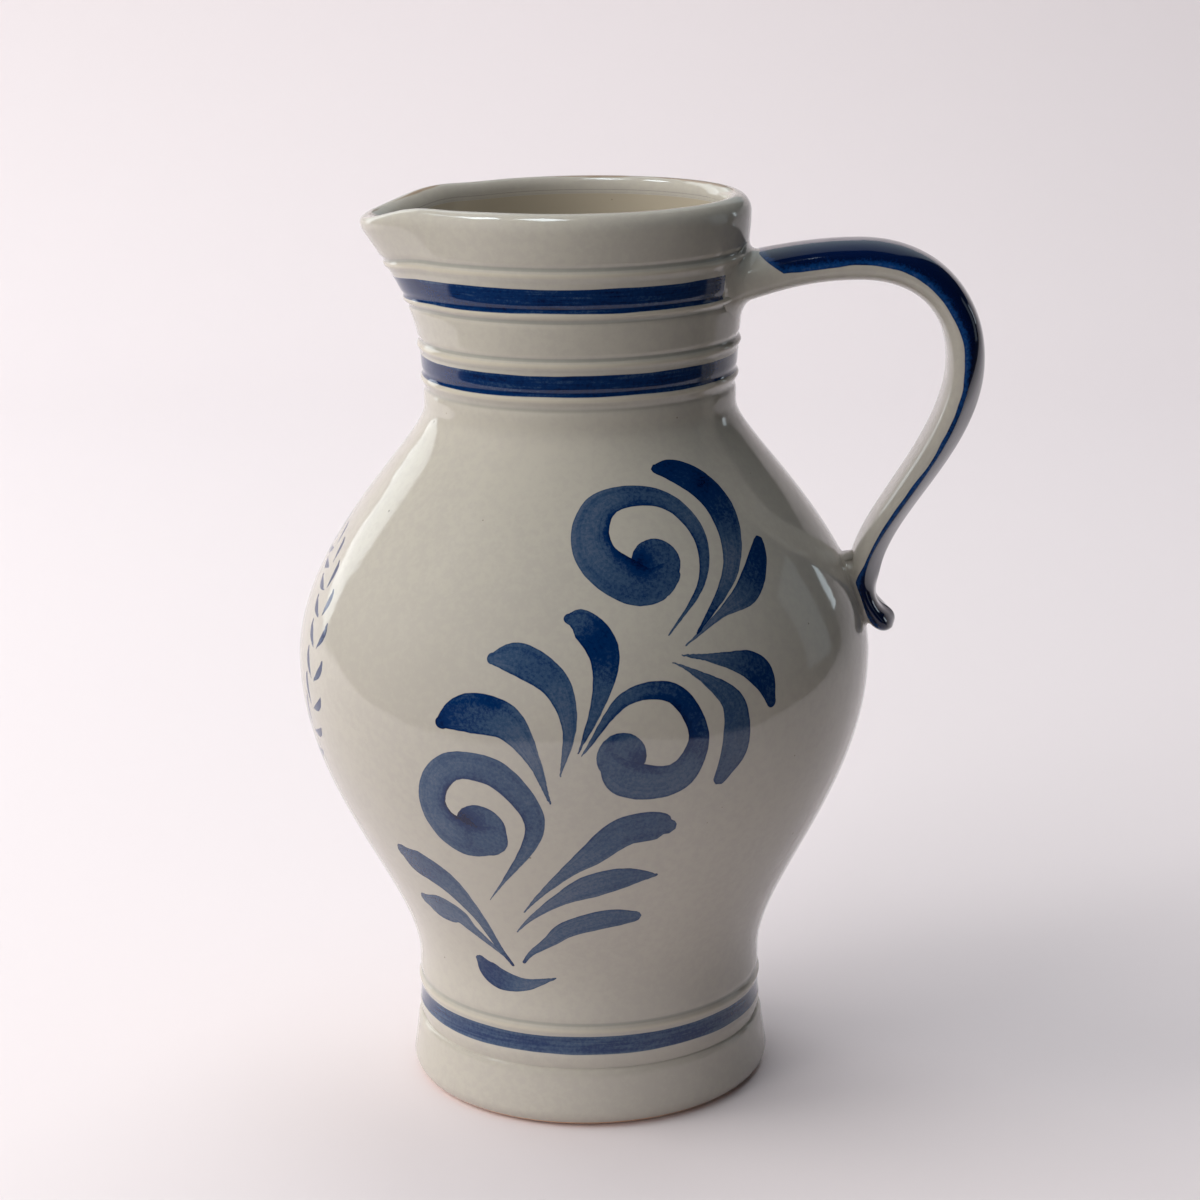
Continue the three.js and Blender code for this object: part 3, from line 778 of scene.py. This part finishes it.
class Tree:
    """Short ways to add and join the nodes of a material or group."""

    def __init__(self, owner):
        self.nodes, self.links = owner.nodes, owner.links

    def add(self, kind, **settings):
        family = "Node" if kind in ("GroupInput", "GroupOutput") else "ShaderNode"
        node = self.nodes.new(family + kind)
        for key, value in settings.items():
            setattr(node, key, value)
        return node

    def put(self, socket, value):
        if isinstance(value, bpy.types.NodeSocket):
            self.links.new(value, socket)
        else:
            socket.default_value = value

    def math(self, operation, *values):
        node = self.add("Math", operation=operation)
        for socket, value in zip(node.inputs, values):
            self.put(socket, value)
        return node.outputs[0]

    def ramp(self, value, low, high, out_low=0.0, out_high=1.0, kind="SMOOTHSTEP"):
        node = self.add("MapRange", interpolation_type=kind)
        for socket, number in zip(node.inputs, (value, low, high, out_low, out_high)):
            self.put(socket, number)
        return node.outputs[0]

    def mix(self, share, first, second):
        node = self.add("Mix", data_type="RGBA")
        self.put(node.inputs[0], share)
        self.put(node.inputs[6], first)
        self.put(node.inputs[7], second)
        return node.outputs[2]

    def noise(self, place, scale, detail=2.0, roughness=0.5):
        node = self.add("TexNoise")
        self.put(node.inputs["Vector"], place)
        node.inputs["Scale"].default_value = scale
        node.inputs["Detail"].default_value = detail
        node.inputs["Roughness"].default_value = roughness
        return node.outputs["Fac"]

    def wander(self, place, scale, amount, spread=0.2, **options):
        """A noise between minus and plus an amount; with a small spread it often reaches them."""
        drawn = self.noise(place, scale, **options)
        return self.ramp(drawn, 0.5 - spread, 0.5 + spread, -amount, amount)

    def attribute(self, name, output="Fac"):
        return self.add("Attribute", attribute_name=name).outputs[output]

    def split(self, vector):
        node = self.add("SeparateXYZ")
        self.put(node.inputs[0], vector)
        return node.outputs

    def dots(self, place, scale, chance, smallest, largest):
        """Round dots of uneven size in some of the cells of a pattern: 1 inside a dot, else 0."""
        cells = self.add("TexVoronoi")
        self.put(cells.inputs["Vector"], place)
        cells.inputs["Scale"].default_value = scale
        draw = self.add("SeparateColor")
        self.put(draw.inputs[0], cells.outputs["Color"])
        chosen = self.math("LESS_THAN", draw.outputs[0], chance)
        size = self.ramp(draw.outputs[1], 0.0, 1.0, smallest, largest, kind="LINEAR")
        return self.math("MULTIPLY", chosen, self.math("LESS_THAN", cells.outputs["Distance"], size))

    def group(self, group, **values):
        node = self.add("Group", node_tree=group)
        for key, value in values.items():
            self.put(node.inputs[key], value)
        return node.outputs


print("a Tree can", ", ".join(name for name in vars(Tree) if not name.startswith("_")))

# %% Helpers for groups and colours


def new_group(name, inputs, outputs):
    """A shader node group; inputs are {name: default}, outputs are {name: socket kind}."""
    group = bpy.data.node_groups.new(name, "ShaderNodeTree")
    for key, value in inputs.items():
        size = len(value) if isinstance(value, tuple) else 1
        kind = {1: "Float", 3: "Vector", 4: "Color"}[size]
        socket = group.interface.new_socket(key, in_out="INPUT", socket_type="NodeSocket" + kind)
        socket.default_value = value
    for key, kind in outputs.items():
        group.interface.new_socket(key, in_out="OUTPUT", socket_type="NodeSocket" + kind)
    tree = Tree(group)
    return group, tree, tree.add("GroupInput").outputs, tree.add("GroupOutput").inputs


def linear(value):
    share = value / 255
    return share / 12.92 if value <= 10 else ((share + 0.055) / 1.055) ** 2.4


def srgb(red, green, blue):
    """A colour as it is read off a screen, 0 to 255, for a socket that wants linear light."""
    return (linear(red), linear(green), linear(blue), 1.0)


print("mid grey of the glaze in linear light:", [round(v, 3) for v in srgb(172, 167, 157)[:3]])

# %% The glaze skin group
glaze_skin, t, given, made = new_group("glaze_skin", {"Place": (0.0, 0.0, 0.0)},
    {"Height": "Float", "Specks": "Float", "Cloud": "Float", "Roughness": "Float"})
place = given["Place"]
swell, slow_swell = t.noise(place, 260, detail=1.0), t.noise(place, 75, detail=1.0)
swells = t.math("ADD", t.math("MULTIPLY", swell, 0.25), slow_swell)
pits = t.math("MULTIPLY", t.dots(place, 330, chance=0.05, smallest=0.05, largest=0.12), 0.4)
t.put(made["Height"], t.math("SUBTRACT", swells, pits))
t.put(made["Specks"], t.dots(place, 260, chance=0.05, smallest=0.03, largest=0.09))
clouds, mottle = t.wander(place, 14, 0.5), t.wander(place, 420, 0.45, roughness=0.7)
t.put(made["Cloud"], t.math("ADD", clouds, mottle))
t.put(made["Roughness"], t.ramp(t.noise(place, 120), 0.3, 0.7, 0.06, 0.11))
print("glaze_skin has", len(glaze_skin.nodes), "nodes")

# %% [markdown]
# ## A brush mark
#
# Cobalt is a thin wash over the grey. Where the brush landed it is nearly navy, and where it ran dry
# the grey shows through in streaks. The group turns the measures on the mesh into the depth inside
# the stroke in millimetres. A wide stroke has points of the mesh well inside it, so there the stored
# depth does. A hair-thin tail falls between the points, so there the depth is worked out from how far
# across the stroke a place is.

# %% The brush mark group
# Strokes below this half width, in mm, can fall between the points of the mesh
thin_half = 1.9
# A depth that is outside every stroke, and the two between which the colour's edge lies
outside_all, edge_outer, edge_inner = -5.0, -0.05, 0.16
brush_mark, t, given, made = new_group("brush_mark",
    {"Stroke": (0.0, 0.0, 0.0), "Paint": (0.0, 0.0, 0.0), "Wobble": 0.0},
    {"Depth": "Float", "Load": "Float"})
across, past, reach = t.split(given["Stroke"])
wet, half, stored_depth = t.split(given["Paint"])
past_end = t.math("MAXIMUM", past, 0.0)
squares = t.math("ADD", t.math("POWER", across, 2.0), t.math("POWER", past_end, 2.0))
thin_depth = t.math("MULTIPLY", t.math("SUBTRACT", 1.0, t.math("SQRT", squares)), half)
near_thin = t.math("MULTIPLY", t.math("GREATER_THAN", reach, 0.0), t.math("LESS_THAN", half, thin_half))
thin_depth = t.ramp(near_thin, 0.0, 1.0, outside_all, thin_depth, kind="LINEAR")
depth = t.math("ADD", t.math("MAXIMUM", thin_depth, stored_depth), given["Wobble"])
hair_place = t.add("CombineXYZ")
t.put(hair_place.inputs[0], across)
hairs = t.wander(hair_place.outputs[0], 2.6, 1.0, detail=3.0, roughness=0.6)
# The drier the brush, the stronger its streaks
streak = t.math("MULTIPLY", hairs, t.ramp(wet, 0.2, 0.7, 0.22, 0.07))
t.put(made["Depth"], depth)
covered = t.ramp(depth, edge_outer, edge_inner)
t.put(made["Load"], t.math("MULTIPLY", covered, t.math("ADD", wet, streak)))
print("brush_mark has", len(brush_mark.nodes), "nodes")

# %% The cobalt wash group
cobalt_wash, t, given, made = new_group("cobalt_wash",
    {"Grey": srgb(172, 167, 157), "Thin": srgb(86, 96, 116), "Middle": srgb(50, 72, 100),
     "Full": srgb(1, 36, 80), "Deep": srgb(1, 16, 54),
     "Depth": outside_all, "Load": 0.0, "Place": (0.0, 0.0, 0.0)},
    {"Color": "Color"})
covered = t.ramp(given["Depth"], edge_outer, edge_inner)
# Colour gathers in a thin dark line just inside the edge
edge_line = t.ramp(given["Depth"], 0.12, 0.65, 0.16, 0.0)
clouds, grain = t.wander(given["Place"], 110, 0.05), t.wander(given["Place"], 1100, 0.12, roughness=0.7)
load = t.math("ADD", t.math("ADD", given["Load"], edge_line), t.math("ADD", clouds, grain))
wash = t.mix(t.ramp(load, 0.1, 0.52, kind="LINEAR"), given["Thin"], given["Middle"])
wash = t.mix(t.ramp(load, 0.48, 0.9), wash, given["Full"])
wash = t.mix(t.ramp(load, 0.9, 1.3), wash, given["Deep"])
t.put(made["Color"], t.mix(covered, given["Grey"], wash))
print("cobalt_wash has", len(cobalt_wash.nodes), "nodes")

# %% [markdown]
# ## The glaze as a surface
#
# Every glazed piece is finished the same way: a colour, with the even gloss of glass over it. The
# gloss and the relief come from the skin group, so a material only has to say what colour it has.
# A second, clear layer of coat was left out: it would add the same gloss twice.

# %% Start a material and give it the glaze's skin


def start_material(name):
    """A new material with its tree, its shader and the place in the object's own space."""
    material = bpy.data.materials.new(name)
    material.use_nodes = True
    tree = Tree(material.node_tree)
    shader = tree.nodes["Principled BSDF"]
    shader.inputs["IOR"].default_value = 1.5
    return material, tree, shader, tree.add("TexCoord").outputs["Object"]


warm_grey, cool_grey, iron = srgb(176, 170, 159), srgb(170, 164, 155), srgb(60, 50, 42)
speck_strength, relief_strength, relief_height = 0.55, 0.6, 0.22 * MM


def grey_glaze(tree, place):
    """The grey of the glaze, in clouds that are warmer and paler or cooler and deeper."""
    cloud = tree.group(glaze_skin, Place=place)["Cloud"]
    return tree.mix(tree.ramp(cloud, -0.8, 0.8), warm_grey, cool_grey)


def glaze_surface(tree, shader, colour, place):
    """Joins a colour to the shader with the glaze's skin: specks, roughness and relief."""
    glaze = tree.group(glaze_skin, Place=place)
    speckled = tree.mix(tree.math("MULTIPLY", glaze["Specks"], speck_strength), colour, iron)
    tree.put(shader.inputs["Base Color"], speckled)
    tree.put(shader.inputs["Roughness"], glaze["Roughness"])
    bump = tree.add("Bump")
    bump.inputs["Strength"].default_value = relief_strength
    bump.inputs["Distance"].default_value = relief_height
    tree.put(bump.inputs["Height"], glaze["Height"])
    tree.put(shader.inputs["Normal"], bump.outputs[0])


print("the glaze goes from", [round(v, 3) for v in warm_grey], "to", [round(v, 3) for v in cool_grey])

# %% [markdown]
# ## The painted glaze of the pot
#
# The strokes of each layer are laid over one another, and the deepest and fullest wins. The three
# bands were pulled on the turning wheel with a full brush, so each is a clean stripe with a slightly
# uneven edge and streaks that run round the pot. They follow the height that a point had before the
# lip was pulled, because the lip carried them with it.

# %% The strokes on the pot
painted_glaze, t, shader, place = start_material("painted_grey_glaze")
wobble = t.wander(place, 300, 0.08, spread=0.3, detail=1.0)
depth, load = outside_all, 0.0
for number in range(len(layers)):
    mark = t.group(brush_mark, Stroke=t.attribute(f"stroke_place_{number}", "Vector"),
        Paint=t.attribute(f"stroke_paint_{number}", "Vector"), Wobble=wobble)
    depth = t.math("MAXIMUM", depth, mark["Depth"])
    load = t.math("MAXIMUM", load, mark["Load"])
load = t.math("ADD", load, t.attribute("pooled"))
print("layers of strokes:", len(layers))

# %% The bands on the pot
# Lowest and highest edge in mm, and the load of colour
bands = {
    "foot_band": (21.1, 26.4, 0.72), "lower_neck_band": (202.4, 208.2, 0.97),
    "upper_neck_band": (224.5, 231.1, 0.97),
}
# Towards its edges a band holds this much less colour
edge_loss = 0.2
# The upper neck band stops short of the handle, this many degrees from its middle
band_end, mm_per_degree = 29.0, 0.75
height = t.attribute("thrown_height")
# The streaks are a noise that is stretched round the pot
streak_place = t.add("Mapping")
t.put(streak_place.inputs["Vector"], place)
streak_place.inputs["Scale"].default_value = (0.05, 0.05, 1.0)
streaks = t.noise(streak_place.outputs[0], 1300, detail=3.0, roughness=0.6)
edge_wave = t.wander(place, 45, 0.15, spread=0.25)
for name, (low, high, band_load) in bands.items():
    into = t.math("MINIMUM", t.math("SUBTRACT", height, low), t.math("SUBTRACT", high, height))
    into = t.math("ADD", into, edge_wave)
    if name == "upper_neck_band":
        from_end = t.math("SUBTRACT", t.attribute("from_handle"), band_end)
        into = t.math("MINIMUM", into, t.math("MULTIPLY", from_end, mm_per_degree))
    full = t.ramp(into, 0.1, 1.2, band_load - edge_loss, band_load)
    full = t.math("ADD", full, t.ramp(streaks, 0.3, 0.7, -0.2, 0.16))
    depth = t.math("MAXIMUM", depth, into)
    load = t.math("MAXIMUM", load, t.math("MULTIPLY", t.ramp(into, -0.1, 0.3), full))
print("bands:", ", ".join(bands))

# %% [markdown]
# ## The grey under the blue
#
# Glaze is thick where it can gather and thin where it is stretched. A groove is coloured darker, partly
# for the glaze gathered in it and partly as painted shade, and a bead is coloured paler, partly for the
# glaze breaking thin over it and partly as a painted highlight. Inside the pot it is warmer. It is worn
# brown along the crest of the rim, and the very edge of the foot was wiped clean before the firing, so
# it shows bare clay. A shader can guess hollows from the mesh, but here the profile is known, so the
# mesh stores how hollow it is.

# %% The grey of the pot and its worn edges
inner_grey, gathered_glaze_and_shade, broken_glaze_and_highlight = srgb(168, 158, 141), srgb(116, 122, 118), srgb(190, 180, 160)
worn_brown, bare_clay = srgb(128, 100, 72), srgb(206, 160, 124)
hollow = t.attribute("hollow")
inside = t.math("LESS_THAN", t.attribute("thrown_height"), inside_mark / 2)
grey = t.mix(inside, grey_glaze(t, place), inner_grey)
# Painted shade: the grooves are coloured darker, for the glaze gathered in them and for the shade that
# falls there
grey = t.mix(t.ramp(hollow, 0.05, 0.9, 0.0, 0.45), grey, gathered_glaze_and_shade)
# Painted highlight: the beads are coloured paler, for the glaze breaking thin over them and for the light
# that catches them
grey = t.mix(t.ramp(hollow, -0.9, -0.15, 0.4, 0.0), grey, broken_glaze_and_highlight)
painted = t.group(cobalt_wash, Grey=grey, Load=load, Depth=depth, Place=place)["Color"]
# The wear is a patchy line, half a millimetre past the crest
crest = t.math("ABSOLUTE", t.math("SUBTRACT", t.attribute("past_crest"), 0.5))
patches = t.ramp(t.noise(place, 30, detail=3.0, roughness=0.6), 0.38, 0.62, 0.9, -0.3)
worn = t.math("ADD", crest, patches)
painted = t.mix(t.ramp(worn, 0.35, 0.95, 0.75, 0.0), painted, worn_brown)
bare_height, glazed_height = 1.0 * MM, 1.7 * MM
wiped = t.ramp(t.split(place)[2], bare_height, glazed_height, 1.0, 0.0)
glaze_surface(t, shader, t.mix(wiped, painted, bare_clay), place)
pot.data.materials.append(painted_glaze)
print("painted_grey_glaze has", len(painted_glaze.node_tree.nodes), "nodes")

# %% The plain grey glaze of the slip
plain_glaze, t, shader, place = start_material("plain_grey_glaze")
glaze_surface(t, shader, grey_glaze(t, place), place)
for piece in (upper_slip, lower_slip):
    piece.data.materials.append(plain_glaze)
print("plain_grey_glaze has", len(plain_glaze.node_tree.nodes), "nodes")

# %% [markdown]
# ## The handle's blue back
#
# One long stroke of full cobalt runs down the back of the strap and wraps onto its sides, further
# from the crown on and furthest at the tail. The inner face stays grey. The stroke is darkest down the
# middle, and where the glaze runs thin at the edge it turns a brighter blue. The mesh stores how far
# along the strap and how far out from its middle each point is, so the stroke's edge is a plain rule.

# %% The handle's glaze
strap_glaze, t, shader, place = start_material("strap_cobalt_glaze")
along, out = t.attribute("strap_along"), t.attribute("strap_out")
# Where the blue ends, as a share of half the thickness out from the strap's middle. It changes over
# three stretches, each given by its two ends in mm along the strap and what it adds before and after
blue_ends = 0.0
for start, end, before, after in ((14, 24, 0.1, -0.07), (36, 72, 0, -0.18), (144, 152, 0, -0.55)):
    blue_ends = t.math("ADD", blue_ends, t.ramp(along, start, end, before, after))
into = t.math("ADD", t.math("SUBTRACT", out, blue_ends), t.wander(place, 60, 0.08, spread=0.25))
# The stroke starts on a slant, some way from the root
stroke_start, stroke_slant = 11.0, 5.5
slanted_start = t.math("MULTIPLY", t.math("SUBTRACT", 1.0, out), stroke_slant)
begun = t.math("SUBTRACT", along, t.math("ADD", slanted_start, stroke_start))
# What makes the two into a depth in mm, as the cobalt wash wants it
half_thick, start_slope = 4.5, 0.7
into = t.math("MINIMUM", t.math("MULTIPLY", into, half_thick), t.math("MULTIPLY", begun, start_slope))
full = t.ramp(into, 0.1, 2.6, 0.5, 1.0)
painted = t.group(cobalt_wash, Grey=grey_glaze(t, place), Load=full, Depth=into, Place=place,
    Middle=srgb(10, 56, 110), Full=srgb(2, 17, 52))["Color"]
glaze_surface(t, shader, painted, place)
strap.data.materials.append(strap_glaze)
print("strap_cobalt_glaze has", len(strap_glaze.node_tree.nodes), "nodes")

# %% [markdown]
# ## Each piece takes its place
#
# The fine meshes stand for the solids of the same names, and all of them belong to the one body.

# %% Join the pieces to the frame
for piece, node, finish in (
    (pot, "vessel_body", "grey_glaze"),
    (strap, "handle", "blue_glaze"),
    (upper_slip, "handle_upper_slip", "grey_glaze"),
    (lower_slip, "handle_lower_slip", "grey_glaze"),
):
    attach(piece, "root")
    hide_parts(node)
    print(piece.name, "stands for", node)

# %% [markdown]
# ## The studio
#
# The jug stands on a pale paper sheet that sweeps up behind it. A glaze shows the room twice, as the
# light on its colour and as a mirror image, and here separate lamps make the two. The lamps for the
# colour are large and aren't mirrored, so each can stand where the tones need it. The two panes of a
# tall window, back on the left, do both. A doorway, a pale wall and high windows are only mirrored.
# The rest of the room is dark, and it begins where the paper ends.

# %% The camera
camera_data = bpy.data.cameras.new("camera")
camera_data.sensor_width = 36
camera_data.lens = 85.5
camera = bpy.data.objects.new("camera", camera_data)
camera_place = (0.04025, -0.76805, 0.34217)
camera_tilt, camera_turn, camera_roll = 14.954, 2.654, -0.845
turned = Matrix.Rotation(math.radians(camera_turn), 4, "Z")
tilted = Matrix.Rotation(math.radians(90 - camera_tilt), 4, "X")
rolled = Matrix.Rotation(math.radians(camera_roll), 4, "Z")
camera.matrix_world = Matrix.Translation(camera_place) @ turned @ tilted @ rolled
bpy.context.scene.collection.objects.link(camera)
bpy.context.scene.camera = camera
print("camera stands", round(camera.matrix_world.translation.length, 3), "m from the foot")

# %% The paper sheet
paper_front, paper_back, sweep, paper_top = -4.0, 1.0, 0.5, 0.55
paper_line = [(paper_front, 0.0), (0.0, 0.0), (paper_back, 0.0)]
paper_line += [(paper_back + sweep * math.sin(a), sweep * (1 - math.cos(a)))
    for a in np.radians(np.arange(6, 91, 6))]
paper_line.append((paper_back + sweep, paper_top))
left_end, right_end = -2.6, 2.6
paper_points = [(x, y, z) for y, z in paper_line for x in (left_end, right_end)]
paper_faces = [(2 * k, 2 * k + 1, 2 * k + 3, 2 * k + 2) for k in range(len(paper_line) - 1)]
paper = new_mesh("paper_sheet", paper_points, paper_faces)
print("the paper runs back to y =", paper_back + sweep)

# %% The paper's finish
# The paper that lights and mirrors itself in the jug is a smaller sheet, laid askew. Each of its
# edges passes a point and leans: x and y of the point, and how far y grows with x
paper_edges = {
    "front": (0.0, -0.365, 0.0), "front_left": (-0.04, -0.385, -0.6), "right": (0.356, -0.133, 1.05),
}
paper_finish, t, shader, place = start_material("pale_paper")
right, back, _ = t.split(place)
beyond = 0.0
for name, (x, y, lean) in paper_edges.items():
    edge = t.math("ADD", t.math("MULTIPLY", t.math("SUBTRACT", right, x), lean), y)
    beyond = t.math("MAXIMUM", beyond, t.math("LESS_THAN", back, edge))
unseen = t.math("SUBTRACT", 1.0, t.add("LightPath").outputs["Is Camera Ray"])
beyond = t.math("MULTIPLY", beyond, unseen)
paper_white, room_floor = srgb(225, 216, 218), srgb(60, 57, 52)
t.put(shader.inputs["Base Color"], t.mix(beyond, paper_white, room_floor))
shader.inputs["Roughness"].default_value = 0.9
shader.inputs["Specular IOR Level"].default_value = 0.1
paper.data.materials.append(paper_finish)
print("pale_paper has", len(paper_finish.node_tree.nodes), "nodes")

# %% A soft light
lamp_target = Vector((0, 0, 0.12))


def soft_light(name, bearing, elevation, distance, width, height, watts, tint):
    """A rectangle of light; bearing 0 is on the viewer's side and grows to the right."""
    data = bpy.data.lights.new(name, "AREA")
    data.shape, data.size, data.size_y, data.energy = "RECTANGLE", width, height, watts
    data.color = tint
    light = bpy.data.objects.new(name, data)
    b, e = math.radians(bearing), math.radians(elevation)
    away = Vector((math.sin(b) * math.cos(e), -math.cos(b) * math.cos(e), math.sin(e)))
    light.location = lamp_target + away * distance
    light.rotation_euler = (-away).to_track_quat("-Z", "Y").to_euler()
    bpy.context.scene.collection.objects.link(light)
    return light


print("every lamp is aimed at a point", round(lamp_target.z / MM), "mm above the floor")

# %% The lights
# Name, bearing and elevation in degrees, distance, width and height in metres, watts and tint
warm, plain, cool, daylight = (1, 0.99, 0.96), (1, 1, 1), (0.8, 0.93, 1), (0.92, 0.98, 1)
lamps = {
    "lights the jug": [
        ("key_light", -90, 30, 1.8, 1.4, 1.2, 20.5, warm),
        ("high_light", -60, 40, 1.8, 1.4, 1.2, 16, warm),
        ("front_light", -30, 12, 1.8, 1.4, 1.2, 13.5, plain),
        ("top_light", 0, 89, 1.8, 1.6, 1.6, 3.0, cool),
        ("back_light", 170, 62, 2.0, 1.5, 1.2, 13.5, plain),
        ("low_back_light", 180, 40, 2.2, 2.4, 0.8, 3.0, plain),
        ("backdrop_light", 140, 30, 1.9, 1.4, 1.2, 2.3, cool),
        ("floor_light", 90, 70, 1.5, 0.8, 0.8, 1.9, cool),
    ],
    "lights the jug and is mirrored in it": [
        ("near_pane", -132.5, 22, 2.0, 0.67, 1.9, 8.8, daylight),
        ("far_pane", -153, 22, 2.0, 0.85, 1.9, 5.0, daylight),
    ],
    "is only mirrored": [
        ("doorway", 108, 8, 2.0, 0.6, 1.1, 0.8, cool),
        ("narrow_window", 129, 9, 2.0, 0.12, 0.35, 0.3, cool),
        ("pale_wall", 178, 38, 2.0, 1.6, 2.0, 3.4, cool),
        ("high_window", -100, 58, 2.0, 0.4, 0.4, 6.0, cool),
        ("skylight", -62, 77, 2.0, 0.6, 0.5, 11.0, cool),
    ],
}
for use, rows in lamps.items():
    for row in rows:
        lamp = soft_light(*row)
        lamp.visible_glossy = "mirrored" in use
        lamp.visible_diffuse = "lights" in use

# %% The room
world = bpy.data.worlds.new("room")
bpy.context.scene.world = world
world.use_nodes = True
t = Tree(world.node_tree)
background = world.node_tree.nodes["Background"]
path = t.add("LightPath")
seen_directly = t.math("MAXIMUM", path.outputs["Is Camera Ray"], path.outputs["Is Transmission Ray"])
dim_room, pale_room = (0.008, 0.011, 0.016, 1), srgb(232, 225, 228)
t.put(background.inputs[0], t.mix(seen_directly, dim_room, pale_room))
background.inputs[1].default_value = 1.0
bpy.context.scene.view_settings.view_transform = "Standard"
print("the room is dim and the view past the paper is pale")
